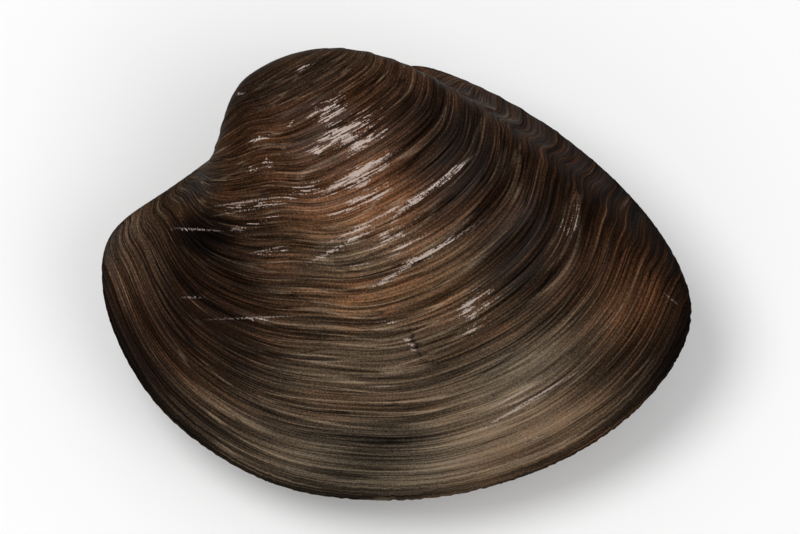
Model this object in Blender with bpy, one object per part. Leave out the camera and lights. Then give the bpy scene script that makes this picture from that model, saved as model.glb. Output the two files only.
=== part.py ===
# A closed ocean quahog lying on its right valve: two thick valves and the band that holds them.
# Lengths are in metres and +Z is up. The origin is on the surface that the shell rests on,
# under the middle of the shell.

import math

import bmesh
import bpy
import numpy as np
from mathutils import Matrix, Vector

MM = 0.001

# The edge along which the valves meet, in mm from the tips of the beaks. X runs to the hind
# end and Y to the hinge side. The points start where the front end meets the hinge side, go
# round below to the hind end, and come back along the hinge and past the beaks.
EDGE = [
    (-28.1, -19.3), (-29.5, -27.4), (-27.3, -36.2), (-21.4, -46.5), (-12.4, -54.9),
    (0.2, -61.5), (13.2, -63.9), (25.9, -63.7), (38.7, -61.0), (52.2, -55.2),
    (63.8, -45.6), (70.0, -33.3), (67.3, -23.0), (60.3, -13.2), (49.1, -3.1),
    (37.8, 3.6), (27.0, 8.2), (16.2, 6.4), (5.8, 1.2), (-3.8, -3.7),
    (-9.4, -6.3), (-13.8, -8.9), (-20.9, -13.2),
]
EDGE_STEPS = 60
SPAN_SAMPLES = 50

# Growth. An earlier edge is the grown edge made smaller about the beaks and turned up about
# the hinge line. Its stage runs from 0 at the beak to 1 at the grown edge.
HINGE_LINE_ANGLE = math.radians(27.4)
WHOLE_TURN = math.radians(169.2)
TURN_POWER = 0.73
FLATTENING = 0.72
UMBO_LEAN = (-0.04, 0.184)
BEAK_STAGES = [0.50, 0.42, 0.34, 0.26, 0.19, 0.12, 0.06, 0.025]

# The front lobe grew late: younger edges are shorter in front by this share
LATE_FRONT = 0.454
LATE_FRONT_BLEND = 6.0

# Younger edges reach nearer to the hinge line behind the beaks, which fills out the shoulder
SHOULDER = 0.40
SHOULDER_PLACE = 33.0
SHOULDER_WIDTH = 14.0
SHOULDER_REACH = 40.0

# Ledges where growth halted, by stage: the lip stands out by a share of its distance from the
# beak, and the step below it takes up this much of a stage. They fade out near the hinge.
LEDGES = [0.965, 0.935, 0.90, 0.87, 0.83, 0.80, 0.76, 0.725, 0.685, 0.63, 0.57]
LIP_SHARE = 0.005
LEDGE_STEP = 0.007
LEDGE_FADE = 22.0

# The hollow where the animal lived, with the solid hinge plate left along the hinge line
HOLLOW_STEPS = 44
HOLLOW_LINES = 9
HOLLOW_SHARE = 0.90
HOLLOW_TURN = math.radians(95.0)
HINGE_PLATE = 8.0
MOUTH_OVERRUN = 1.0

# Between the two valves, and between them and the band
GAP = 0.3

# The band behind the beaks: a spindle bedded in the hinge margin
BAND_RADIUS = 2.3
BAND_STEPS = 15
BAND_ROUNDNESS = 4
BAND_START = 1.5
BAND_LENGTH = 21.5
BAND_BED = 0.9
BAND_TAPER = 0.6
BAND_END_SHARES = (0.06, 0.96)

# How the shell lies: turned back about X and rolled about Y until its weight is over the
# flat spot, which is worn this deep into the swell of the right valve
TURNED_BACK = math.radians(13.5)
ROLLED = math.radians(-0.8)
WORN_DEPTH = 0.4
WORN_BLOCK = 60.0

WELD_DISTANCE = 0.01
SHARP_ANGLE = math.radians(35.0)


def clear_scene():
    for thing in list(bpy.data.objects):
        bpy.data.objects.remove(thing, do_unlink=True)


def collection(name):
    made = bpy.data.collections.new(name)
    bpy.context.scene.collection.children.link(made)
    return made


def material(name, colour, roughness, metallic=0.0):
    made = bpy.data.materials.new(name)
    made.use_nodes = True
    shader = made.node_tree.nodes["Principled BSDF"]
    shader.inputs["Base Color"].default_value = (*colour, 1.0)
    shader.inputs["Roughness"].default_value = roughness
    shader.inputs["Metallic"].default_value = metallic
    made.diffuse_color = (*colour, 1.0)
    return made


def smooth_loop(points, count):
    """Points evenly spaced along a smooth closed curve through the given ones."""
    knots = np.array(points)
    chord = np.sqrt(np.linalg.norm(np.roll(knots, -1, axis=0) - knots, axis=1))
    before = np.roll(chord, 1)
    slopes = (np.roll(knots, -1, axis=0) - knots) / chord[:, None]
    size = len(knots)
    matrix = np.zeros((size, size))
    for i in range(size):
        matrix[i, i - 1] = chord[i]
        matrix[i, i] = 2.0 * (chord[i] + before[i])
        matrix[i, (i + 1) % size] = before[i]
    target = 3.0 * (before[:, None] * slopes + chord[:, None] * np.roll(slopes, 1, axis=0))
    tangents = np.linalg.solve(matrix, target)
    fine = []
    for i in range(size):
        j = (i + 1) % size
        for t in np.linspace(0.0, 1.0, SPAN_SAMPLES, endpoint=False):
            fine.append(
                (2 * t**3 - 3 * t**2 + 1) * knots[i]
                + (t**3 - 2 * t**2 + t) * chord[i] * tangents[i]
                + (3 * t**2 - 2 * t**3) * knots[j]
                + (t**3 - t**2) * chord[i] * tangents[j]
            )
    fine = np.array(fine + fine[:1])
    run = np.concatenate([[0.0], np.cumsum(np.linalg.norm(np.diff(fine, axis=0), axis=1))])
    wanted = np.linspace(0.0, run[-1], count, endpoint=False)
    return np.column_stack([np.interp(wanted, run, fine[:, axis]) for axis in (0, 1)])


ALONG_HINGE = np.array([math.cos(HINGE_LINE_ANGLE), math.sin(HINGE_LINE_ANGLE)])
FROM_HINGE = np.array([ALONG_HINGE[1], -ALONG_HINGE[0]])


def turned(along, away, turn):
    """Points given by their places along and away from the hinge line, turned up about it."""
    height = away * math.sin(turn)
    flat = np.outer(along, ALONG_HINGE) + np.outer(away * math.cos(turn), FROM_HINGE)
    flat = flat + np.outer(height, UMBO_LEAN)
    return [Vector((x, y, z * FLATTENING)) * MM for (x, y), z in zip(flat, height)]


def turn_at(stage):
    return WHOLE_TURN * (1.0 - stage**TURN_POWER)


def earlier_edge(edge, stage):
    """The edge at a stage, not turned yet: its places along and away from the hinge line."""
    along = edge @ ALONG_HINGE
    away = edge @ FROM_HINGE
    front = (np.sqrt(along**2 + LATE_FRONT_BLEND**2) - along) / 2.0
    shoulder = np.exp(-(((along - SHOULDER_PLACE) / SHOULDER_WIDTH) ** 2))
    shoulder *= np.clip(1.0 - away / SHOULDER_REACH, 0.0, 1.0)
    shoulder *= SHOULDER * 4.0 * stage**2 * (1.0 - stage**2)
    along = along + LATE_FRONT * (1.0 - stage) * front
    return stage * along, stage * away * (1.0 - shoulder)


def growth_line(edge, stage, lip=0.0):
    along, away = earlier_edge(edge, stage)
    size = 1.0 + lip * np.clip(away / LEDGE_FADE, 0.0, 1.0)
    return turned(along * size, away * size, turn_at(stage))


def hollow_line(edge, share):
    """One line round the hollow, from 0 at its mouth to 1 at its end under the umbo."""
    turn = HOLLOW_TURN * math.sin(share * math.pi / 2.0)
    stage = (1.0 - turn / WHOLE_TURN) ** (1.0 / TURN_POWER)
    along, away = earlier_edge(edge, stage)
    away = np.maximum(away, HINGE_PLATE * stage)
    size = HOLLOW_SHARE * math.cos(share * math.pi / 2.0)
    middle_along = (along.max() + along.min()) / 2.0
    middle_away = (away.max() + away.min()) / 2.0
    along = middle_along + (along - middle_along) * size
    away = middle_away + (away - middle_away) * size
    return turned(along, away, turn)


def lofted(name, lines, tip):
    """A closed solid: the first line filled, each next one extruded, the last drawn to a tip."""
    bm = bmesh.new()
    ring = [bm.verts.new(point) for point in lines[0]]
    bm.faces.new(ring)
    edges = [bm.edges.get((ring[i - 1], ring[i])) for i in range(len(ring))]
    for line in lines[1:]:
        grown = bmesh.ops.extrude_edge_only(bm, edges=edges)["geom"]
        edges = [item for item in grown if isinstance(item, bmesh.types.BMEdge)]
        new_verts = {item for item in grown if isinstance(item, bmesh.types.BMVert)}
        following = []
        for vert in ring:
            following.append(next(e.other_vert(vert) for e in vert.link_edges
                                  if e.other_vert(vert) in new_verts))
        ring = following
        for vert, point in zip(ring, line):
            vert.co = point
    bmesh.ops.pointmerge(bm, verts=ring, merge_co=tip)
    bmesh.ops.recalc_face_normals(bm, faces=bm.faces)
    mesh = bpy.data.meshes.new(name)
    bm.to_mesh(mesh)
    bm.free()
    return mesh


def mirrored(mesh, name):
    bm = bmesh.new()
    bm.from_mesh(mesh)
    bmesh.ops.scale(bm, vec=(1.0, 1.0, -1.0), verts=bm.verts)
    bmesh.ops.reverse_faces(bm, faces=bm.faces)
    made = bpy.data.meshes.new(name)
    bm.to_mesh(made)
    bm.free()
    return made


def placed(name, mesh, home, parent, side=0.0):
    thing = bpy.data.objects.new(name, mesh)
    home.objects.link(thing)
    thing.parent = parent
    thing.location.z = side * GAP / 2.0 * MM
    return thing


def cut(thing, cutter):
    modifier = thing.modifiers.new(cutter.name, "BOOLEAN")
    modifier.operation = "DIFFERENCE"
    modifier.solver = "EXACT"
    modifier.object = cutter
    cutter.hide_render = True
    cutter.display_type = "WIRE"


def band_path(edge):
    """The band's middle line and the share of its full radius there, along the hinge margin."""
    along = edge @ ALONG_HINGE
    away = edge @ FROM_HINGE
    hinge = [i for i in range(len(edge)) if away[i] < away.max() / 2.0]
    hinge.sort(key=lambda i: along[i])
    wanted = np.linspace(BAND_START, BAND_START + BAND_LENGTH, BAND_STEPS)
    depth = np.interp(wanted, along[hinge], away[hinge]) - BAND_BED
    shares = np.sin(np.linspace(*BAND_END_SHARES, BAND_STEPS) * math.pi) ** BAND_TAPER
    return turned(wanted, depth, 0.0), shares


def band_curve(name, edge, radius, home, parent):
    """A tapered tube along the hinge margin, made a mesh with its caps welded."""
    points, shares = band_path(edge)
    data = bpy.data.curves.new(name, "CURVE")
    data.dimensions = "3D"
    data.bevel_depth = radius * MM
    data.bevel_resolution = BAND_ROUNDNESS
    data.use_fill_caps = True
    spline = data.splines.new("POLY")
    spline.points.add(len(points) - 1)
    for spot, point, share in zip(spline.points, points, shares):
        spot.co = (*point, 1.0)
        spot.radius = share
    guide = bpy.data.objects.new(name + "_line", data)
    home.objects.link(guide)
    bpy.context.view_layer.update()
    graph = bpy.context.evaluated_depsgraph_get()
    mesh = bpy.data.meshes.new_from_object(guide.evaluated_get(graph))
    bpy.data.objects.remove(guide, do_unlink=True)
    bm = bmesh.new()
    bm.from_mesh(mesh)
    bmesh.ops.remove_doubles(bm, verts=bm.verts, dist=WELD_DISTANCE * MM)
    bmesh.ops.recalc_face_normals(bm, faces=bm.faces)
    bm.to_mesh(mesh)
    bm.free()
    mesh.name = name
    return placed(name, mesh, home, parent)


def finish(thing, look):
    thing.data.materials.clear()
    thing.data.materials.append(look)
    thing.data.shade_smooth()
    thing.data.set_sharp_from_angle(angle=SHARP_ANGLE)


def lowest_and_highest(things):
    """The corners of the space that the finished things take up."""
    bpy.context.view_layer.update()
    graph = bpy.context.evaluated_depsgraph_get()
    corners = []
    for thing in things:
        seen = thing.evaluated_get(graph)
        mesh = seen.to_mesh()
        corners += [seen.matrix_world @ vert.co for vert in mesh.vertices]
        seen.to_mesh_clear()
    low = Vector([min(corner[axis] for corner in corners) for axis in range(3)])
    high = Vector([max(corner[axis] for corner in corners) for axis in range(3)])
    return low, high


def build():
    clear_scene()
    parts = collection("ocean_quahog")
    cutters = collection("cutters")
    laid = bpy.data.objects.new("laid_down", None)
    parts.objects.link(laid)
    laid.rotation_euler = (TURNED_BACK, ROLLED, 0.0)

    edge = smooth_loop(EDGE, EDGE_STEPS)
    lines = [growth_line(edge, 1.0)]
    for stage in LEDGES:
        lines.append(growth_line(edge, stage + LEDGE_STEP))
        lines.append(growth_line(edge, stage, LIP_SHARE))
    lines += [growth_line(edge, stage) for stage in BEAK_STAGES]
    upper = lofted("left_valve", lines, Vector((0.0, 0.0, 0.0)))

    inner = smooth_loop(EDGE, HOLLOW_STEPS)
    shares = np.linspace(0.0, 1.0, HOLLOW_LINES)
    hollow = [hollow_line(inner, share) for share in shares]
    mouth = [point - Vector((0.0, 0.0, MOUTH_OVERRUN * MM)) for point in hollow[0]]
    tip = sum(hollow[-1], Vector()) / len(hollow[-1])
    space = lofted("upper_hollow", [mouth] + hollow, tip)

    left = placed("left_valve", upper, parts, laid, 1.0)
    right = placed("right_valve", mirrored(upper, "right_valve"), parts, laid, -1.0)
    band = band_curve("ligament", edge, BAND_RADIUS, parts, laid)
    groove = band_curve("band_groove", edge, BAND_RADIUS + GAP, cutters, laid)
    cut(left, placed("upper_hollow", space, cutters, laid, 1.0))
    cut(right, placed("lower_hollow", mirrored(space, "lower_hollow"), cutters, laid, -1.0))
    cut(left, groove)
    cut(right, groove)

    low, high = lowest_and_highest([left, right, band])
    bpy.ops.mesh.primitive_cube_add(size=WORN_BLOCK * MM)
    worn = bpy.context.object
    worn.name = "worn_spot"
    worn.location = (low + high) / 2.0
    worn.location.z = low.z + (WORN_DEPTH - WORN_BLOCK / 2.0) * MM
    bpy.context.view_layer.update()
    for home in list(worn.users_collection):
        home.objects.unlink(worn)
    cutters.objects.link(worn)
    cut(right, worn)

    periostracum = material("periostracum", (0.055, 0.030, 0.020), 0.45)
    horn = material("dark_horn", (0.030, 0.017, 0.012), 0.55)
    finish(left, periostracum)
    finish(right, periostracum)
    finish(band, horn)

    low, high = lowest_and_highest([left, right, band])
    middle = (low + high) / 2.0
    laid.location = (-middle.x, -middle.y, -low.z)
    worn.location -= Vector((middle.x, middle.y, low.z))
    bpy.context.view_layer.update()


build()
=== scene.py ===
import math
from types import SimpleNamespace

import bmesh
import bpy
import numpy as np
from mathutils import Euler, Matrix, Vector


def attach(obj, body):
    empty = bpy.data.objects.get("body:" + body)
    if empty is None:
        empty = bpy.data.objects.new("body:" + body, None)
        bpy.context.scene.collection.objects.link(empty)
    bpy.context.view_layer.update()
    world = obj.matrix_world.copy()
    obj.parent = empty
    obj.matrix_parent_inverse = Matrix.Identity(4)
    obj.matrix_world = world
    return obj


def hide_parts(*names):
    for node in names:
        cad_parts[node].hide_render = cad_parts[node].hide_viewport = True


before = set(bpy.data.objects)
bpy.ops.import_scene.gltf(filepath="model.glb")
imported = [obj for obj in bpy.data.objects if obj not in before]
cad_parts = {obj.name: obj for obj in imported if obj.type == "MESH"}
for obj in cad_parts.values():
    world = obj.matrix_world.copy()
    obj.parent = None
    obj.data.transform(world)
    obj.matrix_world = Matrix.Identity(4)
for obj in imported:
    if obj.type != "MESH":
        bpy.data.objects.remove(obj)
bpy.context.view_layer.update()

# Ocean quahog: two thick dark valves and the horny band that holds them, lying on the right
# valve. The shell's own frame is in mm from its beaks: X to the hind end, Y to the hinge
# side, Z out through the left valve.
lay = {
    "turnedBack": 13.5,                        # degrees about X
    "rolled": -0.8,                            # degrees about Y
    "place": (-20.3713, 23.5902, 28.0477),     # where the beaks are, mm
}
mm = 0.001
shellTurn = Euler((math.radians(lay["turnedBack"]), math.radians(lay["rolled"]), 0.0))
shellToWorld = (
    Matrix.Translation(Vector(lay["place"]) * mm) @ shellTurn.to_matrix().to_4x4() @ Matrix.Scale(mm, 4)
)
placing = {"Place": lay["place"], "Turn": tuple(shellTurn)}
sharpAngle = math.radians(50.0)


# node benches


def opaque(colour):
    return (*colour, 1.0)


class Wire:
    def __init__(self, bench, socket):
        self.bench = bench
        self.socket = socket

    def math(self, operation, *others):
        return self.bench.node("ShaderNodeMath", {"operation": operation}, [self, *others])

    def mathAfter(self, operation, other):
        return self.bench.node("ShaderNodeMath", {"operation": operation}, [other, self])

    def __add__(self, other):
        return self.math("ADD", other)

    def __sub__(self, other):
        return self.math("SUBTRACT", other)

    def __mul__(self, other):
        return self.math("MULTIPLY", other)

    def __truediv__(self, other):
        return self.math("DIVIDE", other)

    def __pow__(self, other):
        return self.math("POWER", other)

    def __rsub__(self, other):
        return self.mathAfter("SUBTRACT", other)

    def __rpow__(self, other):
        return self.mathAfter("POWER", other)

    def __rtruediv__(self, other):
        return self.mathAfter("DIVIDE", other)

    def __neg__(self):
        return self * -1.0

    __radd__ = __add__
    __rmul__ = __mul__

    def also(self, name):
        return Wire(self.bench, self.bench.find(self.socket.node.outputs, name))


class Bench:
    def __init__(self, tree):
        self.tree = tree

    def find(self, sockets, key):
        if isinstance(key, int):
            return [socket for socket in sockets if socket.enabled][key]
        for socket in sockets:
            if socket.identifier == key or (socket.enabled and socket.name == key):
                return socket
        raise KeyError(f"no socket {key}")

    def node(self, kind, settings=None, inputs=None, output=0):
        made = self.tree.nodes.new(kind)
        for name, value in (settings or {}).items():
            if name == "stops":
                self.setStops(made.color_ramp, value)
            elif name == "curve":
                self.setCurve(made.mapping, value)
            else:
                setattr(made, name, value)
        pairs = inputs.items() if isinstance(inputs, dict) else enumerate(inputs or [])
        for key, value in pairs:
            socket = self.find(made.inputs, key)
            if isinstance(value, Wire):
                self.tree.links.new(value.socket, socket)
            else:
                socket.default_value = value
        if output is not None:
            return Wire(self, self.find(made.outputs, output))

    def setStops(self, ramp, stops):
        while len(ramp.elements) > 1:
            ramp.elements.remove(ramp.elements[-1])
        for number, (place, colour) in enumerate(stops):
            element = ramp.elements[0] if number == 0 else ramp.elements.new(place)
            element.position = place
            element.color = opaque(colour)

    def setCurve(self, mapping, points):
        curve = mapping.curves[0]
        while len(curve.points) > 2:
            curve.points.remove(curve.points[1])
        for number, (place, value) in enumerate(points):
            if number < 2:
                curve.points[number].location = (place, value)
            else:
                curve.points.new(place, value)
        for point in curve.points:
            point.handle_type = "AUTO_CLAMPED"
        mapping.update()

    def rise(self, value, start, end):
        settings = {"interpolation_type": "SMOOTHSTEP"}
        return self.node("ShaderNodeMapRange", settings, {0: value, 1: start, 2: end})

    def vector(self, x, y, z):
        return self.node("ShaderNodeCombineXYZ", None, [x, y, z])

    def mix(self, factor, first, second, way="MIX"):
        settings = {"data_type": "RGBA", "blend_type": way}
        inputs = {"Factor_Float": factor, "A_Color": first, "B_Color": second}
        return self.node("ShaderNodeMix", settings, inputs, "Result_Color")


class ShapeBench(Bench):
    def __init__(self, name, sizes):
        super().__init__(bpy.data.node_groups.new(name, "GeometryNodeTree"))
        self.group = self.tree.nodes.new("NodeGroupInput")
        self.tree.interface.new_socket("Geometry", in_out="INPUT", socket_type="NodeSocketGeometry")
        for title, value in sizes.items():
            kind = {int: "Int", float: "Float", tuple: "Vector"}.get(type(value), "Material")
            made = self.tree.interface.new_socket(title, in_out="INPUT", socket_type="NodeSocket" + kind)
            if kind != "Material":
                made.default_value = value
        self.tree.interface.new_socket("Geometry", in_out="OUTPUT", socket_type="NodeSocketGeometry")

    def given(self, name):
        return Wire(self, self.find(self.group.outputs, name))

    def close(self, geometry, material):
        geometry = self.node("GeometryNodeRealizeInstances", None, [geometry])
        geometry = self.node("GeometryNodeSetMaterial", None, {"Geometry": geometry, "Material": material})
        end = self.tree.nodes.new("NodeGroupOutput")
        self.tree.links.new(geometry.socket, end.inputs[0])


def newObject(name, data):
    made = bpy.data.objects.new(name, data)
    bpy.context.scene.collection.objects.link(made)
    return made


def evaluatedMesh(host):
    bpy.context.view_layer.update()
    graph = bpy.context.evaluated_depsgraph_get()
    return bpy.data.meshes.new_from_object(host.evaluated_get(graph))


def forSockets(sizes):
    return {key: value for key, value in sizes.items() if key[0].isupper()}


def grownMesh(name, host, bench, sizes):
    modifier = host.modifiers.new(name, "NODES")
    modifier.node_group = bench.tree
    for item in bench.tree.interface.items_tree:
        if item.in_out == "INPUT" and item.name in sizes:
            modifier[item.identifier] = sizes[item.name]
    mesh = evaluatedMesh(host)
    host.modifiers.remove(modifier)
    mesh.name = name
    return newObject(name, mesh)


# the growing edge

edgePoints = [
    (-28.1, -19.3), (-29.5, -27.4), (-27.3, -36.2), (-21.4, -46.5), (-12.4, -54.9),
    (0.2, -61.5), (13.2, -63.9), (25.9, -63.7), (38.7, -61.0), (52.2, -55.2),
    (63.8, -45.6), (70.0, -33.3), (67.3, -23.0), (60.3, -13.2), (49.1, -3.1),
    (37.8, 4.0), (28.6, 8.2), (22.0, 9.3), (14.5, 6.3), (5.8, 1.5), (-3.8, -3.7),
    (-9.4, -6.3), (-13.8, -8.9), (-20.9, -13.2),
]
edgeSamples = 720
spanSamples = 50          # between two points, from which the even samples are read
hingeAngle = math.radians(27.4)
alongHinge = np.array([math.cos(hingeAngle), math.sin(hingeAngle)])
fromHinge = np.array([alongHinge[1], -alongHinge[0]])


def smoothLoop(points, count):
    knots = np.array(points)
    chord = np.sqrt(np.linalg.norm(np.roll(knots, -1, axis=0) - knots, axis=1))
    before = np.roll(chord, 1)
    slopes = (np.roll(knots, -1, axis=0) - knots) / chord[:, None]
    size = len(knots)
    matrix = np.zeros((size, size))
    for i in range(size):
        matrix[i, i - 1] = chord[i]
        matrix[i, i] = 2.0 * (chord[i] + before[i])
        matrix[i, (i + 1) % size] = before[i]
    target = 3.0 * (before[:, None] * slopes + chord[:, None] * np.roll(slopes, 1, axis=0))
    tangents = np.linalg.solve(matrix, target)
    fine = []
    for i in range(size):
        j = (i + 1) % size
        for t in np.linspace(0.0, 1.0, spanSamples, endpoint=False):
            fine.append(
                (2 * t**3 - 3 * t**2 + 1) * knots[i] + (t**3 - 2 * t**2 + t) * chord[i] * tangents[i]
                + (3 * t**2 - 2 * t**3) * knots[j] + (t**3 - t**2) * chord[i] * tangents[j]
            )
    fine = np.array(fine + fine[:1])
    run = np.concatenate([[0.0], np.cumsum(np.linalg.norm(np.diff(fine, axis=0), axis=1))])
    wanted = np.linspace(0.0, run[-1], count, endpoint=False)
    return np.column_stack([np.interp(wanted, run, fine[:, axis]) for axis in (0, 1)])


def polyline(name, points, closed):
    data = bpy.data.curves.new(name, "CURVE")
    data.dimensions = "3D"
    spline = data.splines.new("POLY")
    spline.points.add(len(points) - 1)
    for spot, point in zip(spline.points, points):
        spot.co = (*point, 0.0, 1.0)
    spline.use_cyclic_u = closed
    return newObject(name, data)


edge = smoothLoop(edgePoints, edgeSamples)
edgeLine = polyline("growing_edge", edge, True)
print("edge: drawn")


# valves

valve = {
    "Around": 360,
    "Outer rows": 226,
    "Inner rows": 30,
    "Hinge angle": hingeAngle,
    "Whole turn": math.radians(169.2),
    "Turn power": 0.73,
    "Flattening": 0.72,
    "Lean along X": -0.06,
    "Lean along Y": 0.172,
    "Early lean X": -0.115,
    "Early lean Y": -0.042,
    "Late front": 0.485,
    "Early hind": 0.10,
    "Front blend": 6.0,
    "Shoulder": 0.40,
    "Shoulder place": 33.0,
    "Shoulder width": 14.0,
    "Shoulder reach": 40.0,
    "Hollow share": 0.90,
    "Hollow turn": math.radians(95.0),
    "Hinge plate": 8.0,
    "Ledge height": 0.30,
    "Ripple height": 0.10,
    "Nibble": 0.012,
    "Waver": 0.006,
    "Gap": 0.3,
    "Side": 1.0,
    "Seed": 3.0,
    "Skin": None,
    "earlySpan": (0.16, 0.46),        # stages over which the early leans fade
    "nibbleSpan": (0.93, 1.0),        # stages over which the margin gets its bites
    "bitesAround": 260.0,
    "biteBelow": 0.62,                # noise under this bites
    "rightSeed": 8.0,
}
# where the growth lines leave the edge: share of the grown size at which the line that ends
# there was laid down, and how much that changes towards the beak, by place round the edge
# from 0 to 1. Both are thinned and rounded from a fit to the drawn lines.
lineShares = [
    (0.00, 0.92), (0.06, 1.00), (0.50, 1.00), (0.56, 0.93), (0.64, 0.77), (0.70, 0.65),
    (0.76, 0.46), (0.82, 0.36), (0.88, 0.42), (0.94, 0.62), (1.00, 0.92),
]
lineLags = [
    (0.00, -0.30), (0.10, -0.05), (0.24, -0.05), (0.36, -0.15), (0.48, -0.10), (0.64, 0.30),
    (0.76, 0.00), (0.92, 0.00), (1.00, -0.30),
]
# halts of growth: growth number of the step, and how high the lip before it
halts = [
    (0.982, 0.5), (0.945, 1.0), (0.912, 0.6), (0.880, 1.0), (0.837, 0.9), (0.800, 1.0),
    (0.760, 0.8), (0.728, 0.6), (0.703, 0.9), (0.683, 0.5), (0.645, 0.8), (0.602, 0.9),
    (0.556, 0.7), (0.510, 0.7), (0.465, 0.6), (0.430, 0.4), (0.380, 0.5), (0.320, 0.4),
]
haltShape = {                         # in growth number
    "lipBefore": 0.026,
    "lipAfter": 0.008,
    "troughBottom": 0.006,
    "troughEnd": 0.017,
}
relief = {
    "wander": 0.07,                   # noise that makes the growth lines wander, to the mm
    "ripples": 60.0,                  # ripples to the whole growth, and how wavy they are
    "rippleWaves": 1.4,
    "fromStage": (0.03, 0.25),        # no relief at the beak, at the very edge, or inside
    "toStage": (0.988, 0.998),
    "fromHinge": (0.02, 0.30),        # little of it near the hinge, in 100 mm
    "freeFrom": (2.0, 30.0),          # lines wander freely this far from the hinge, mm
}
poleWeld = 0.02                       # mm, joins the points at the ends of the grid


def haltMarks(b, growth):
    lips = troughs = None
    for start, size in halts:
        bottom, end = start + haltShape["troughBottom"], start + haltShape["troughEnd"]
        lip = b.rise(growth, start - haltShape["lipBefore"], start)
        lip = lip * (1.0 - b.rise(growth, start, start + haltShape["lipAfter"])) * size
        trough = b.rise(growth, start, bottom) * (1.0 - b.rise(growth, bottom, end)) * size
        lips, troughs = (lip, trough) if lips is None else (lips + lip, troughs + trough)
    return lips, troughs


def splitAttribute(b, name):
    named = b.node("GeometryNodeInputNamedAttribute", {"data_type": "FLOAT_VECTOR"}, {"Name": name})
    return b.node("ShaderNodeSeparateXYZ", None, [named])


def withRelief(b, shell):
    growth, coat, ledge = (splitAttribute(b, name) for name in ("growth", "coat", "ledge"))
    waves = relief["rippleWaves"]
    ring = b.vector(growth * waves, growth.also("Y") * waves, growth.also("Z") * relief["ripples"])
    ripple = b.node("ShaderNodeTexNoise", {"noise_dimensions": "4D"},
                    {"Vector": ring, "W": b.given("Seed"), "Scale": 1.0, "Detail": 2.0, "Roughness": 0.6})
    total = ledge * b.given("Ledge height") + (ripple - 0.5) * 2.0 * b.given("Ripple height")
    fade = b.rise(coat, *relief["fromStage"]) * (1.0 - b.rise(coat, *relief["toStage"]))
    fade = fade * (1.0 - coat.also("Z"))
    fade = fade * (0.10 + 0.90 * b.rise(coat.also("Y"), *relief["fromHinge"]))
    push = b.node("ShaderNodeVectorMath", {"operation": "SCALE"},
                  {"Vector": b.node("GeometryNodeInputNormal"), "Scale": total * fade * -1.0})
    return b.node("GeometryNodeSetPosition", None, {"Geometry": shell, "Offset": push})


def splitPosition(b):
    return b.node("ShaderNodeSeparateXYZ", None, [b.node("GeometryNodeInputPosition")])


def laidDown(b, shell):
    spot = splitPosition(b)
    lifted = (spot.also("Z").math("MAXIMUM", 0.0) + b.given("Gap") / 2.0) * b.given("Side")
    shell = b.node("GeometryNodeSetPosition", None,
                   {"Geometry": shell, "Position": b.vector(spot, spot.also("Y"), lifted)})
    isUpper = b.node("FunctionNodeCompare", {"data_type": "FLOAT", "operation": "GREATER_THAN"},
                     {"A": b.given("Side"), "B": 0.0})
    shell = b.node("GeometryNodeFlipFaces", None, {"Mesh": shell, "Selection": isUpper})
    shell = b.node("GeometryNodeTransform", None,
                   {"Geometry": shell, "Translation": b.given("Place"), "Rotation": b.given("Turn")})
    spot = splitPosition(b)
    worn = b.vector(spot, spot.also("Y"), spot.also("Z").math("MAXIMUM", 0.0))
    return b.node("GeometryNodeSetPosition", None, {"Geometry": shell, "Position": worn})


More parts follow.
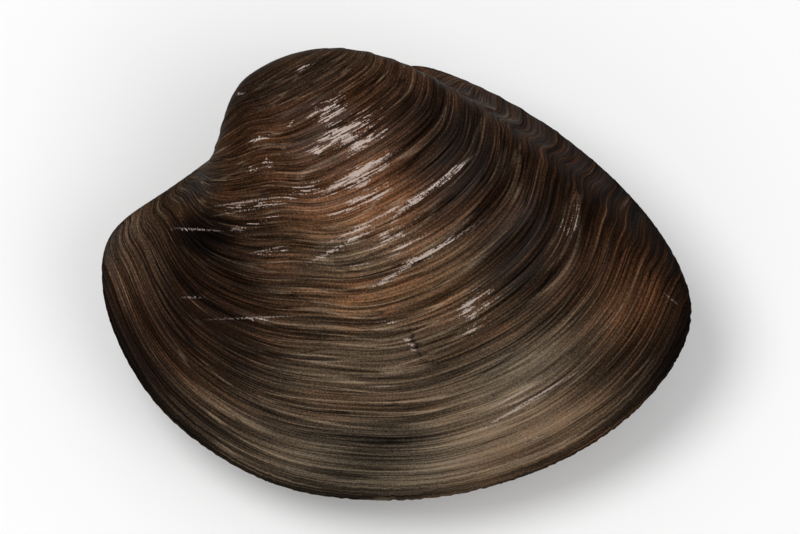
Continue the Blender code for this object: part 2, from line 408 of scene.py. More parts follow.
def valveTree(sizes):
    b = ShapeBench("grown_valve", sizes)
    around, outerRows, innerRows = b.given("Around"), b.given("Outer rows"), b.given("Inner rows")
    grid = b.node("GeometryNodeMeshCylinder", {"fill_type": "NONE"},
                  {"Vertices": around, "Side Segments": outerRows + innerRows + 1.0})
    index = b.node("GeometryNodeInputIndex")
    row = (index / around).math("FLOOR")
    place = (index - row * around) / around
    outward = ((row - innerRows - 1.0) / outerRows).math("MAXIMUM", 0.0)
    isInner = (row - innerRows - 0.5).math("LESS_THAN", 0.0)
    depth = 1.0 - row / innerRows
    quarter = depth * (math.pi / 2.0)

    # the edge at an earlier stage, turned up about the hinge line
    wholeTurn, power = b.given("Whole turn"), b.given("Turn power")
    innerStage = (1.0 - b.given("Hollow turn") * quarter.math("SINE") / wholeTurn) ** (1.0 / power)
    stage = isInner * innerStage + (1.0 - isInner) * (1.0 - outward)
    turn = wholeTurn * (1.0 - stage ** power)
    spot = b.node("GeometryNodeSampleCurve", {"mode": "FACTOR"},
                  {"Curves": b.given("Geometry"), "Factor": place}, "Position")
    edgeX = b.node("ShaderNodeSeparateXYZ", None, [spot])
    edgeY = edgeX.also("Y")
    cosine, sine = b.given("Hinge angle").math("COSINE"), b.given("Hinge angle").math("SINE")
    along = edgeX * cosine + edgeY * sine
    below = edgeX * sine - edgeY * cosine
    blend = b.given("Front blend")
    front = ((along * along + blend * blend).math("SQRT") - along) / 2.0
    hind = along + front
    swell = (along - b.given("Shoulder place")) / b.given("Shoulder width")
    swell = (-(swell * swell)).math("EXPONENT")
    swell = swell * (1.0 - below / b.given("Shoulder reach")).math("MAXIMUM", 0.0)
    squared = stage * stage
    swell = swell * b.given("Shoulder") * 4.0 * squared * (1.0 - squared)
    younger = 1.0 - stage
    along = stage * (along + younger * (b.given("Late front") * front + b.given("Early hind") * hind))
    away = stage * below * (1.0 - swell)
    bites = b.node("ShaderNodeTexNoise", {"noise_dimensions": "1D"}, {
        "W": place * valve["bitesAround"] + b.given("Seed") * 31.0,
        "Scale": 1.0, "Detail": 3.0, "Roughness": 0.6})
    bites = (valve["biteBelow"] - bites).math("MAXIMUM", 0.0) * b.given("Nibble")
    bites = 1.0 - bites * b.rise(stage, *valve["nibbleSpan"])
    along = along * bites
    away = away * bites

    # the hollow: the same edge, drawn in about its middle, with the hinge plate left solid
    shrink = b.given("Hollow share") * quarter.math("COSINE")
    plate = b.given("Hinge plate")
    hindReach = b.given("Hind reach") * (1.0 + b.given("Early hind") * younger)
    frontReach = b.given("Front reach") * (1.0 - b.given("Late front") * younger)
    middleAlong = stage * (hindReach + frontReach) / 2.0
    middleAway = stage * (b.given("Lower reach") + plate) / 2.0
    innerAlong = middleAlong + (along - middleAlong) * shrink
    innerAway = middleAway + (away.math("MAXIMUM", plate * stage) - middleAway) * shrink
    along = isInner * innerAlong + (1.0 - isInner) * along
    away = isInner * innerAway + (1.0 - isInner) * away

    height = away * turn.math("SINE")
    flat = away * turn.math("COSINE")
    early = 1.0 - b.rise(stage, *valve["earlySpan"])
    leanX = b.given("Lean along X") + early * b.given("Early lean X")
    leanY = b.given("Lean along Y") + early * b.given("Early lean Y")
    grown = b.vector(
        along * cosine + flat * sine + height * leanX,
        along * sine - flat * cosine + height * leanY,
        height * b.given("Flattening"))
    shell = b.node("GeometryNodeSetPosition", None, {"Geometry": grid, "Position": grown})

    # growth lines: they run out at the edge along the hinge, older ones nearer to the beak
    share = b.node("ShaderNodeFloatCurve", {"curve": lineShares}, {"Value": place})
    raised = [(where, value + 0.5) for where, value in lineLags]
    lag = b.node("ShaderNodeFloatCurve", {"curve": raised}, {"Value": place}) - 0.5
    growth = stage * share * (lag * younger).math("EXPONENT")
    wander = b.node("ShaderNodeTexNoise", {"noise_dimensions": "4D"}, {
        "Vector": b.node("GeometryNodeInputPosition"), "W": b.given("Seed"),
        "Scale": relief["wander"], "Detail": 1.2})
    free = b.rise(below, *relief["freeFrom"])
    growth = growth + (wander - 0.5) * b.given("Waver") * (0.15 + 0.85 * free)
    circle = place * (2.0 * math.pi)
    for name, value in (
        ("growth", b.vector(circle.math("COSINE"), circle.math("SINE"), growth)),
        ("coat", b.vector(stage, below / 100.0, isInner)),
        ("ledge", b.vector(*haltMarks(b, growth), 0.0)),
    ):
        shell = b.node("GeometryNodeStoreNamedAttribute", {"data_type": "FLOAT_VECTOR"},
                       {"Geometry": shell, "Name": name, "Value": value})

    # a lip before each halt and fine ripples between them, then the valve is laid down: half
    # the gap off the middle plane, on its own side, and worn flat below
    shell = laidDown(b, withRelief(b, shell))
    isPole = (row - 0.5).math("LESS_THAN", 0.0)
    isPole = isPole + (row - innerRows - outerRows - 0.5).math("GREATER_THAN", 0.0)
    shell = b.node("GeometryNodeMergeByDistance", None,
                   {"Geometry": shell, "Selection": isPole, "Distance": poleWeld})
    shell = b.node("GeometryNodeSetShadeSmooth", None, {"Geometry": shell})
    shell = b.node("GeometryNodeTransform", None, {"Geometry": shell, "Scale": (mm, mm, mm)})
    b.close(shell, b.given("Skin"))
    return b


# band behind the beaks

band = {
    "radius": 2.3,
    "start": 1.5,                         # mm from the beaks along the hinge
    "length": 19.5,
    "bed": 0.3,                           # how deep it lies in the hinge margin
    "taper": 0.6,
    "endShares": (0.06, 0.96),
    "linePoints": 60,
    "sides": 40,
    "creases": (0.9, 0.9, 0.25),          # squeezed, so that they run round it
    "Rows": 150,
    "Crease height": 0.10,
    "Horn": None,
}
bandWeld = 0.00001                        # metres


def bandPath():
    along, away = edge @ alongHinge, edge @ fromHinge
    hinge = [i for i in range(len(edge)) if away[i] < away.max() / 2.0]
    hinge.sort(key=lambda i: along[i])
    wanted = np.linspace(band["start"], band["start"] + band["length"], band["linePoints"])
    depth = np.interp(wanted, along[hinge], away[hinge]) - band["bed"]
    shares = np.sin(np.linspace(*band["endShares"], band["linePoints"]) * math.pi) ** band["taper"]
    flat = np.outer(wanted, alongHinge) + np.outer(depth, fromHinge)
    return flat, shares


def bandTree(sizes):
    b = ShapeBench("spun_band", sizes)
    line = b.node("GeometryNodeResampleCurve", {"mode": "COUNT"},
                  {"Curve": b.given("Geometry"), "Count": b.given("Rows")})
    ring = b.node("GeometryNodeCurvePrimitiveCircle", None, {"Resolution": band["sides"], "Radius": 1.0})
    tube = b.node("GeometryNodeCurveToMesh", None, {
        "Curve": line, "Profile Curve": ring, "Scale": b.node("GeometryNodeInputRadius"), "Fill Caps": True})
    here = b.node("GeometryNodeInputPosition")
    squeezed = b.node("ShaderNodeVectorMath", {"operation": "MULTIPLY"}, [here, band["creases"]])
    crease = b.node("ShaderNodeTexNoise", None, {"Vector": squeezed, "Scale": 1.3, "Detail": 3.0})
    push = b.node("ShaderNodeVectorMath", {"operation": "SCALE"}, {
        "Vector": b.node("GeometryNodeInputNormal"),
        "Scale": (crease - 0.5) * b.given("Crease height") * 2.0})
    tube = b.node("GeometryNodeSetPosition", None, {"Geometry": tube, "Offset": push})
    tube = b.node("GeometryNodeSetShadeSmooth", None, {"Geometry": tube})
    tube = b.node("GeometryNodeTransform", None, {
        "Geometry": tube, "Translation": b.given("Place"), "Rotation": b.given("Turn")})
    tube = b.node("GeometryNodeTransform", None, {"Geometry": tube, "Scale": (mm, mm, mm)})
    b.close(tube, b.given("Horn"))
    return b


def bandMesh(name, radius, crease, bench, material):
    flat, shares = bandPath()
    line = polyline(name + "_line", flat, False)
    for spot, share in zip(line.data.splines[0].points, shares):
        spot.radius = share * radius
    sizes = {**band, "Crease height": crease, "Horn": material, **placing}
    piece = grownMesh(name, line, bench, forSockets(sizes))
    bpy.data.objects.remove(line)
    closeMesh(piece.data)
    return piece


def closeMesh(mesh):
    bm = bmesh.new()
    bm.from_mesh(mesh)
    bmesh.ops.remove_doubles(bm, verts=bm.verts, dist=bandWeld)
    bmesh.ops.recalc_face_normals(bm, faces=bm.faces)
    bm.to_mesh(mesh)
    bm.free()


def grooved(piece, cutter):
    modifier = piece.modifiers.new("groove", "BOOLEAN")
    modifier.operation = "DIFFERENCE"
    modifier.solver = "MANIFOLD"
    modifier.object = cutter
    mesh = evaluatedMesh(piece)
    piece.modifiers.remove(modifier)
    piece.data = mesh
    mesh.name = piece.name


# skins

skin = {
    "umber": (1.80, 1.00, 0.51),           # tints, each times a lightness
    "russet": (2.45, 1.00, 0.42),
    "olive": (1.35, 1.00, 0.66),
    "slate": (1.24, 1.00, 0.80),
    "lightness": 0.019,
    "palest": 0.22,
    # pale colour of worn skin, also used for the painted highlight glints
    "paleWearAndHighlight": (0.43, 0.345, 0.300),
    "pearl": (0.74, 0.72, 0.69),
    "gloss": 0.008,                         # specular level, the varnish on the swellings apart
    "varnish": 0.22,
    # growth lines: how many to the whole growth, how wavy, octaves of noise
    "broadLines": (24.0, 1.2, 3.0),
    "middleLines": (100.0, 1.5, 2.0),
    "fineLines": (300.0, 1.9, 1.0),
    "paleLines": (46.0, 0.7, 1.0),
    "deepLines": (54.0, 1.0, 1.0),
    "flecks": (300.0, 8.0, 1.0),
    "paleWidth": (0.008, 0.060),            # full strength and none, of the noise about its middle
    "deepWidth": (0.006, 0.050),
    "grainSize": 3.4,                       # noise to the mm
    "mottleSize": 0.16,
    "straySize": 0.07,
    "jag": 1.2,                             # how far the scars are pushed about, mm
    # how much each changes the lightness, in doublings
    "broad": 0.40,
    "middle": 1.30,
    "fine": 3.8,
    "grain": 2.2,
    "mottle": 0.35,
    "pale": 1.7,
    "deep": 1.0,
    "trough": 0.75,
    "rimSkinAndShade": 2.0,
    "slopeShade": 0.4,
    # soft patches, mm in the shell's own frame: x, y, long, wide, turn in degrees, doublings;
    # the doublings are rounded from a fit. Besides real pale and dark bands they hold painted
    # light: a painted highlight on the crown and shoulder, painted shade on the slopes and rims
    "patches": [
        (16.0, -9.0, 17.0, 10.0, 30.0, 1.0),       # crown of the umbo, a painted highlight
        (22.0, -25.0, 27.0, 18.0, 15.0, 2.0),      # painted highlight on the shoulder
        (-13.0, -27.0, 15.0, 18.0, 60.0, -2.0),    # painted shade on the front slope
        (-26.0, -20.0, 9.0, 16.0, 20.0, 1.5),      # front rim
        (44.0, -8.0, 24.0, 11.0, -35.0, -2.0),     # painted shade on the hind slope below the hinge
        (40.0, -54.0, 26.0, 10.0, 20.0, 4.0),      # pale lower hind band
        (12.0, -46.0, 26.0, 10.0, -5.0, 1.5),      # pale bands below
        (10.0, -59.0, 30.0, 6.0, -4.0, 2.5),
        (-8.0, -52.0, 16.0, 8.0, -35.0, 0.5),
        (52.0, -36.0, 18.0, 7.0, 30.0, 1.0),
        (38.0, -42.0, 16.0, 6.0, 22.0, 1.5),
        (36.0, 1.0, 26.0, 6.0, -33.0, 1.0),        # lighter margin behind the hinge, a painted sheen
        (26.0, -2.0, 10.0, 12.0, 60.0, -2.0),      # painted shade in the fold behind the umbo
        (0.0, 6.0, 14.0, 5.0, 20.0, -0.5),         # painted shade on the top and front of the umbo, where it turns away
        (-6.0, 3.0, 6.0, 12.0, -20.0, -1.0),
        (-22.0, -38.0, 10.0, 10.0, 0.0, -1.0),     # dark bands
        (30.0, -14.0, 10.0, 8.0, 30.0, -2.0),
        (-4.0, -43.0, 10.0, 6.0, -20.0, -1.5),
        (20.0, -56.0, 12.0, 4.0, 0.0, -1.5),
        (41.0, -23.0, 10.0, 9.0, 50.0, -2.5),
        (-12.0, -19.0, 6.0, 4.0, 0.0, -3.0),       # the notch
        (65.5, -24.0, 14.0, 4.0, -60.0, -1.0),     # painted shade along the hind rim
        (67.0, -39.0, 10.0, 4.0, 65.0, -1.0),
    ],
    # where the skin turns russet, olive or slate: the same, the last how much of it
    "russets": [
        (2.0, 2.0, 16.0, 12.0, 20.0, 1.0), (22.0, -31.0, 14.0, 7.0, 12.0, 0.1),
        (30.0, -2.0, 22.0, 14.0, 60.0, 1.2), (50.0, -14.0, 30.0, 16.0, -40.0, 0.9),
        (66.0, -34.0, 14.0, 12.0, 60.0, 0.5), (10.0, -6.0, 20.0, 14.0, 25.0, 1.0),
        (-23.0, -27.0, 10.0, 12.0, 20.0, 0.8), (-12.0, -29.0, 16.0, 18.0, 60.0, 0.8),
        (34.0, 4.0, 26.0, 8.0, -33.0, 1.0),
    ],
    "olives": [
        (34.0, -52.0, 36.0, 13.0, 18.0, 0.8), (4.0, -56.0, 30.0, 12.0, -12.0, 0.8),
        (4.0, 7.0, 12.0, 4.0, 18.0, 0.6), (-24.0, -22.0, 9.0, 12.0, 20.0, 0.5),
        (14.0, -40.0, 26.0, 9.0, 4.0, 0.7), (12.0, -24.0, 16.0, 5.0, 15.0, 0.5),
        (44.0, -38.0, 14.0, 7.0, 30.0, 0.6),
    ],
    # the first slate patch paints a grey sheen along the margin behind the hinge
    "slates": [
        (33.0, 3.5, 22.0, 8.0, -30.0, 0.35), (-13.0, -11.0, 6.0, 3.0, 20.0, 0.7),
    ],
    "scuffsAndHighlights": [                             # the same six values, the last how dense; worn skin and painted highlight glints on the ridges
        (9.0, 1.8, 4.2, 3.4, 30.0, 0.95), (11.5, -2.1, 8.0, 2.4, 28.0, 0.95),
        (14.2, -4.0, 6.5, 1.7, 28.0, 0.95), (13.6, -9.4, 8.0, 2.6, 30.0, 1.00),
        (14.6, -13.2, 8.0, 1.5, 28.0, 0.95), (4.8, -11.7, 5.5, 1.5, 20.0, 0.75),
        (11.5, -20.8, 8.0, 0.60, 28.0, 1.25), (25.3, -12.0, 9.5, 0.85, 38.0, 1.25),
        (15.1, -17.3, 8.0, 0.65, 27.0, 1.00), (23.8, -23.4, 12.0, 1.00, 31.0, 1.25),
        (19.1, -21.0, 9.0, 3.2, 33.0, 0.66), (-4.5, -14.4, 6.5, 0.60, 8.0, 0.90),
        (-4.0, -17.5, 6.0, 1.0, 17.0, 0.72), (-13.8, -18.3, 4.5, 0.35, 0.0, 0.85),
        (-0.3, -22.3, 3.8, 1.5, 8.0, 0.62), (4.3, 8.7, 3.4, 0.60, 28.0, 0.95),
        (-3.2, -3.2, 2.6, 0.50, 15.0, 1.20), (2.6, -0.4, 0.9, 0.60, 40.0, 1.20),
        (1.2, -4.6, 0.8, 0.45, 15.0, 1.30), (7.1, -5.5, 0.9, 0.45, 15.0, 1.20),
        (-1.6, -7.3, 1.5, 1.6, 0.0, 0.75), (-3.7, -8.3, 1.4, 1.4, 0.0, 0.72),
        (-6.0, 4.6, 1.2, 0.45, 10.0, 1.00), (-3.7, -33.3, 9.0, 0.35, 0.0, 0.66),
        (18.7, -33.9, 2.6, 0.40, 0.0, 0.85), (49.6, -17.6, 4.5, 2.4, 65.0, 0.52),
        (33.4, -32.0, 5.5, 3.6, 55.0, 0.74), (40.6, -47.2, 8.0, 2.0, 30.0, 0.38),
    ],
    "scratchesAndGlints": [                          # thin pale lines, the last how strong: scratches and painted highlight glints
        (-4.6, -13.6, 6.4, 0.22, 8.0, 0.55), (-3.6, -14.8, 6.8, 0.20, 10.0, 0.50),
        (-13.1, -18.3, 4.3, 0.18, -4.0, 0.45), (-3.1, -33.1, 9.2, 0.17, 2.5, 0.40),
        (-14.1, -29.7, 2.0, 0.22, 0.0, 0.40), (-1.0, -21.6, 3.6, 0.20, 12.0, 0.45),
        (42.6, -47.1, 10.4, 0.30, 31.0, 0.85), (39.8, -46.4, 5.8, 0.18, 27.0, 0.45),
        (18.7, -33.8, 2.2, 0.24, 6.0, 0.55), (17.5, -44.7, 2.8, 0.18, 3.0, 0.40),
        (41.5, -53.0, 2.2, 0.15, -50.0, 0.35), (43.5, -53.5, 2.2, 0.15, 20.0, 0.35),
        (66.5, -30.0, 1.6, 0.16, -40.0, 0.30), (22.0, -36.8, 0.8, 0.34, -5.0, 0.80),
        (22.6, -37.6, 0.7, 0.32, -12.0, 0.80), (23.0, -38.4, 0.7, 0.30, -20.0, 0.75),
        (11.8, -20.6, 8.0, 0.35, 28.0, 0.60), (25.6, -11.8, 9.5, 0.42, 38.0, 0.60),
        (24.0, -23.3, 12.0, 0.42, 31.0, 0.60), (15.1, -17.4, 8.0, 0.28, 27.0, 0.50),
        (13.5, -9.2, 8.5, 0.40, 30.0, 0.55),
    ],
    "scars": [                              # dark torn marks
        (23.3, -37.5, 3.4, 0.50, -64.0, 1.8), (26.0, -40.8, 2.2, 0.40, -10.0, 1.2),
        (36.5, -46.8, 2.4, 0.50, 20.0, 0.9), (31.5, -31.0, 3.0, 0.9, 40.0, 0.8),
        (35.5, -34.5, 3.2, 0.8, 35.0, 0.8),
    ],
}


def freshLook(name):
    made = bpy.data.materials.new(name)
    made.use_nodes = True
    bench = Bench(made.node_tree)
    bench.tree.nodes.clear()
    return made, bench


def patch(b, flat, x, y, long, wide, turn, amount):
    inside = b.node("ShaderNodeMapping", {"vector_type": "TEXTURE"}, {
        "Vector": flat, "Location": (x, y, 0.0), "Rotation": (0.0, 0.0, math.radians(turn)),
        "Scale": (long, wide, 1.0)})
    away = b.node("ShaderNodeVectorMath", {"operation": "LENGTH"}, [inside], "Value")
    return (1.0 - b.rise(away, 0.2, 1.25)) * amount


def patchSum(b, flat, patches):
    total = None
    for values in patches:
        one = patch(b, flat, *values)
        total = one if total is None else total + one
    return total


def softPatches(points, patches):
    total = np.zeros(len(points))
    for x, y, long, wide, turn, amount in patches:
        cosine, sine = math.cos(math.radians(turn)), math.sin(math.radians(turn))
        u = ((points[:, 0] - x) * cosine + (points[:, 1] - y) * sine) / long
        v = ((points[:, 1] - y) * cosine - (points[:, 0] - x) * sine) / wide
        share = np.clip((np.hypot(u, v) - 0.2) / 1.05, 0.0, 1.0)
        total += amount * (1.0 - share * share * (3.0 - 2.0 * share))
    return total


def paintPatches(piece):
    mesh = piece.data
    points = np.empty(len(mesh.vertices) * 3, np.float32)
    mesh.vertices.foreach_get("co", points)
    toShell = np.array(shellToWorld.inverted())
    points = points.reshape(-1, 3) @ toShell[:3, :3].T + toShell[:3, 3]
    upper = points[:, 2] > 0.0
    tints = [np.minimum(softPatches(points, skin[key]), 1.0) for key in ("russets", "olives", "slates")]
    # wear: the soft patches (real bands with painted highlight and painted shade), the scuffs (worn skin
    # with painted highlight glints), and whether the point is on the upper valve
    for name, columns in (
        ("tints", tints),
        ("wear", [softPatches(points, skin["patches"]), softPatches(points, skin["scuffsAndHighlights"]) * upper, upper]),
    ):
        layer = mesh.attributes.new(name, "FLOAT_VECTOR", "POINT")
        layer.data.foreach_set("vector", np.column_stack(columns).astype(np.float32).ravel())


def shellPlace(b):
    return b.node("ShaderNodeMapping", {"vector_type": "TEXTURE"}, {
        "Vector": b.node("ShaderNodeTexCoord", None, None, "Object"),
        "Location": tuple(mm * value for value in lay["place"]), "Rotation": placing["Turn"],
        "Scale": (mm, mm, mm)})


def skinWires(b):
    w = SimpleNamespace()
    w.ring, w.coat, w.ledge, w.tints, w.wear = (
        b.node("ShaderNodeSeparateXYZ", None, [
            b.node("ShaderNodeAttribute", {"attribute_name": key}, None, "Vector")])
        for key in ("growth", "coat", "ledge", "tints", "wear"))
    w.shell = shellPlace(b)
    w.spot = b.node("ShaderNodeSeparateXYZ", None, [w.shell])

    def lines(kind):
        count, waves, octaves = skin[kind]
        along = b.vector(w.ring * waves, w.ring.also("Y") * waves, w.ring.also("Z") * count)
        noise = b.node("ShaderNodeTexNoise", None, {
            "Vector": along, "Scale": 1.0, "Detail": octaves, "Roughness": 0.6})
        return (noise - 0.5) * 2.0

    def hairlines(kind, thin, soft):
        return 1.0 - b.rise(lines(kind).math("ABSOLUTE"), thin, soft)

    def cloud(toTheMm, octaves):
        noise = b.node("ShaderNodeTexNoise", None, {
            "Vector": w.shell, "Scale": toTheMm, "Detail": octaves})
        return (noise - 0.5) * 2.0

    w.broad, w.middle, w.fine = lines("broadLines"), lines("middleLines"), lines("fineLines")
    w.flecks = lines("flecks")
    w.pale = hairlines("paleLines", *skin["paleWidth"])
    w.deep = hairlines("deepLines", *skin["deepWidth"])
    w.grain, w.mottle = cloud(skin["grainSize"], 1.0), cloud(skin["mottleSize"], 3.0)
    facing = b.node("ShaderNodeVectorMath", {"operation": "DOT_PRODUCT"}, [
        b.node("ShaderNodeTexCoord", None, None, "Normal"),
        tuple(shellToWorld.to_3x3().normalized().col[2])], "Value")
    w.facing = facing.math("ABSOLUTE")
    return w


def skinLightness(b, w):
    calm = 0.62 + 0.38 * b.rise(w.ring.also("Z"), 0.25, 0.60)      # weaker lines on the umbo
    drawn = w.broad * skin["broad"] + w.middle * skin["middle"] + w.fine * skin["fine"]
    # the soft patches come first: real bands together with painted highlight and painted shade
    doublings = w.wear + drawn * calm + w.grain * skin["grain"] + w.mottle * skin["mottle"]
    doublings = doublings + w.pale * (skin["pale"] + w.mottle * 2.2)
    doublings = doublings - w.deep * (skin["deep"] + w.mottle * 2.0)
    doublings = doublings - w.ledge.also("Y") * (skin["trough"] + w.broad * 1.1)
    jag = skin["jag"]
    jagged = b.vector(w.spot + w.middle * jag, w.spot.also("Y") + w.grain * jag, 0.0)
    doublings = doublings - patchSum(b, jagged, skin["scars"])
    # darker towards the margin: partly the darker old skin there, partly painted shade where the shell turns
    # away
    rimSkinAndShade = b.rise(w.coat, 0.90, 0.985) * 0.6 + b.rise(w.coat, 0.970, 0.995) * 0.6
    # painted shade: the steeper the surface stands to the shell's plane, the darker
    slopeShade = 1.0 - b.rise(w.facing, 0.0, 0.45)
    doublings = doublings - rimSkinAndShade * skin["rimSkinAndShade"] - slopeShade * skin["slopeShade"]
    lightness = (2.0 ** doublings) * skin["lightness"]
    return lightness / (1.0 + lightness / skin["palest"])


def skinTint(b, w):
    warmth = b.rise(w.broad + w.mottle, -0.25, 0.75)
    tint = b.mix(warmth, opaque(skin["umber"]), opaque(skin["russet"]))
    for amount, name in ((w.tints, "russet"), (w.tints.also("Y"), "olive"), (w.tints.also("Z"), "slate")):
        tint = b.mix(amount, tint, opaque(skin[name]))
    return b.mix(w.pale * 0.7, tint, opaque(skin["olive"]))


def wornAndHighlighted(b, w, colour):
    # pale scuffs along the growth lines, where the skin is worn thin and where painted highlight glints
    # stand for light on the ridges; strewn worn ones on the valve below
    isUpper = w.wear.also("Z")
    stray = b.rise(b.node("ShaderNodeTexNoise", None, {
        "Vector": w.shell, "Scale": skin["straySize"], "Detail": 1.0}), 0.60, 0.75)
    dense = w.wear.also("Y") + stray * 0.42 * (1.0 - isUpper)
    rubbedAndLit = w.flecks * 1.7 + w.middle * 0.6 + w.fine * 0.9 + w.grain * 0.6 + dense
    rubbedAndLit = b.rise(rubbedAndLit, 0.84, 1.20) * b.rise(dense, 0.05, 0.30)
    cover = (0.05 + dense * 0.75 + w.fine * 1.3 + w.grain * 0.5).math("MINIMUM", 0.95)
    colour = b.mix(rubbedAndLit * cover, colour, opaque(skin["paleWearAndHighlight"]))
    # thin scratches and painted highlight glints, on the upper valve only
    scratchedAndLit = patchSum(b, b.vector(w.spot, w.spot.also("Y"), 0.0), skin["scratchesAndGlints"])
    scratchedAndLit = scratchedAndLit * b.rise(w.grain + w.fine, -0.25, 0.10) * isUpper
    return b.mix(scratchedAndLit.math("MINIMUM", 1.0), colour, opaque(skin["paleWearAndHighlight"]))


def skinMaterial(name):
    made, b = freshLook(name)
    w = skinWires(b)
    colour = wornAndHighlighted(b, w, b.mix(1.0, skinTint(b, w), skinLightness(b, w), "MULTIPLY"))
    colour = b.mix(w.coat.also("Z"), colour, opaque(skin["pearl"]))
    height = w.middle * 0.5 + w.fine * 0.35 + w.grain * 0.12 - w.ledge.also("Y") * 0.5
    bump = b.node("ShaderNodeBump", None, {"Height": height, "Strength": 0.6, "Distance": 0.00012})
    rough = (0.50 + w.middle * 0.20 + w.grain * 0.12).math("MINIMUM", 0.9)
    varnish = b.rise(w.facing, 0.62, 0.95) * (0.5 + w.middle * 1.2 + w.fine * 1.0) * skin["varnish"]
    shader = b.node("ShaderNodeBsdfPrincipled", None, {
        "Base Color": colour, "Roughness": rough, "Specular IOR Level": skin["gloss"], "Normal": bump,
        "Coat Weight": varnish.math("MAXIMUM", 0.0), "Coat Roughness": 0.32})
    b.node("ShaderNodeOutputMaterial", None, {"Surface": shader}, output=None)
    return made


horn = {
    "dark": (0.010, 0.005, 0.003),
    "brown": (0.032, 0.015, 0.008),
    "pale": (0.085, 0.045, 0.022),
    "crack": (0.004, 0.002, 0.0015),
    "rings": 1.8,                          # cross rings to the mm
    "flakes": 0.45,                        # flakes to the mm
}


def hornMaterial(name):
    made, b = freshLook(name)
    shell = shellPlace(b)
    along = b.node("ShaderNodeVectorMath", {"operation": "DOT_PRODUCT"}, [
        shell, (float(alongHinge[0]), float(alongHinge[1]), 0.0)], "Value")
    wander = b.node("ShaderNodeTexNoise", None, {"Vector": shell, "Scale": 0.5, "Detail": 2.0})
    ringed = b.node("ShaderNodeTexNoise", {"noise_dimensions": "1D"}, {
        "W": along * horn["rings"] + wander * 2.0, "Scale": 1.0, "Detail": 3.0, "Roughness": 0.7})
    flakes = b.node("ShaderNodeTexVoronoi", {"feature": "DISTANCE_TO_EDGE"}, {
        "Vector": shell, "Scale": horn["flakes"]}, "Distance")
    crack = 1.0 - b.rise(flakes, 0.0, 0.06)
    tone = ringed * 0.7 + wander * 0.3
    colour = b.node("ShaderNodeValToRGB", {"stops": [
        (0.35, horn["dark"]), (0.55, horn["brown"]), (0.75, horn["pale"])]}, [tone])
    colour = b.mix(crack * 0.7, colour, opaque(horn["crack"]))
    bump = b.node("ShaderNodeBump", None, {
        "Height": ringed - crack * 0.5, "Strength": 0.7, "Distance": 0.0002})
    shader = b.node("ShaderNodeBsdfPrincipled", None, {
        "Base Color": colour, "Roughness": 0.42 + ringed * 0.25, "Specular IOR Level": 0.2, "Normal": bump})
    b.node("ShaderNodeOutputMaterial", None, {"Surface": shader}, output=None)
    return made


# building

reaches = {
    "Hind reach": float((edge @ alongHinge).max()),
    "Front reach": float((edge @ alongHinge).min()),
    "Lower reach": float((edge @ fromHinge).max()),
}
skinLook = skinMaterial("periostracum")
hornLook = hornMaterial("dark_horn")

valveSizes = forSockets({**valve, **reaches, **placing})
valveBench = valveTree(valveSizes)
leftSizes = {**valveSizes, "Skin": skinLook}
rightSizes = {**leftSizes, "Side": -1.0, "Seed": valve["rightSeed"]}
left = grownMesh("left_valve_grown", edgeLine, valveBench, leftSizes)
right = grownMesh("right_valve_grown", edgeLine, valveBench, rightSizes)
bpy.data.objects.remove(edgeLine)
bandBench = bandTree(forSockets({**band, **placing}))
groove = bandMesh("band_groove", band["radius"] + valve["Gap"], 0.0, bandBench, hornLook)
for piece in (left, right):
    grooved(piece, groove)
    piece.data.set_sharp_from_angle(angle=sharpAngle)
    paintPatches(piece)
bpy.data.objects.remove(groove)
print("valves: grown", [len(piece.data.polygons) for piece in (left, right)])
ligament = bandMesh("ligament_spun", band["radius"], band["Crease height"], bandBench, hornLook)
ligament.data.set_sharp_from_angle(angle=sharpAngle)
print("ligament: spun", len(ligament.data.polygons))

for piece, node, slot in (
    (left, "left_valve", "periostracum"),
    (right, "right_valve", "periostracum"),
    (ligament, "ligament", "dark_horn"),
):
    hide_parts(node)
    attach(piece, "root")

# floor, light, camera

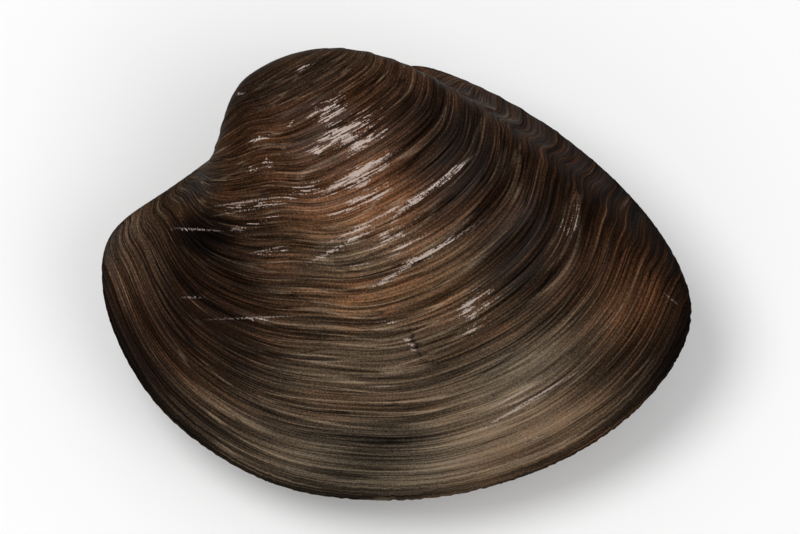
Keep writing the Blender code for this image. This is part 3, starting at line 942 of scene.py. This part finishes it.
studio = {
    "paper": (0.87, 0.87, 0.87),
    "sky": 0.60,
    "keyWatts": 8.5,
    "keyWidth": 0.70,
    "keyPlace": (-0.50, 0.15, 1.25),
    "sideWatts": 3.5,
    "sideWidth": 0.90,
    "sidePlace": (0.55, -0.40, 1.20),
    "lens": 900.0,
    "sensor": 36.0,
    "photoWidth": 800.0,
    "pixelsPerMm": 5.94,
    "middle": (20.8, -24.6, 8.0),           # what the camera looks at, mm in the shell's own frame
    "floorHalf": 15.0,
}


def floorPiece():
    bm = bmesh.new()
    bmesh.ops.create_grid(bm, x_segments=2, y_segments=2, size=studio["floorHalf"])
    mesh = bpy.data.meshes.new("floor")
    bm.to_mesh(mesh)
    bm.free()
    made = bpy.data.materials.new("floor_paper")
    made.use_nodes = True
    paper = made.node_tree.nodes["Principled BSDF"].inputs
    paper["Base Color"].default_value = opaque(studio["paper"])
    paper["Roughness"].default_value = 0.9
    paper["Specular IOR Level"].default_value = 0.2
    mesh.materials.append(made)
    newObject("floor", mesh)


def softbox(name, watts, width, place, target):
    data = bpy.data.lights.new(name, "AREA")
    data.shape = "DISK"
    data.size = width
    data.energy = watts
    lamp = newObject(name, data)
    lamp.location = place
    lamp.visible_camera = False
    lamp.rotation_euler = (Vector(target) - Vector(place)).to_track_quat("-Z", "Y").to_euler()


floorPiece()
world = bpy.data.worlds.new("studio")
world.use_nodes = True
world.node_tree.nodes["Background"].inputs["Color"].default_value = (1.0, 1.0, 1.0, 1.0)
world.node_tree.nodes["Background"].inputs["Strength"].default_value = studio["sky"]
bpy.context.scene.world = world
softbox("key", studio["keyWatts"], studio["keyWidth"], studio["keyPlace"], (0.0, 0.0, 0.03))
softbox("side", studio["sideWatts"], studio["sideWidth"], studio["sidePlace"], (0.0, 0.0, 0.02))
bpy.context.scene.view_settings.view_transform = "Standard"

camera = bpy.data.cameras.new("camera")
camera.lens = studio["lens"]
camera.sensor_width = studio["sensor"]
cameraThing = newObject("camera", camera)
distance = studio["photoWidth"] * studio["lens"] / (studio["sensor"] * studio["pixelsPerMm"]) * mm
target = shellToWorld @ Vector(studio["middle"])
cameraThing.rotation_euler = shellTurn
cameraThing.location = target + shellTurn.to_matrix() @ Vector((0.0, 0.0, distance))
camera.clip_end = 10.0
bpy.context.scene.camera = cameraThing
print("studio: lit")
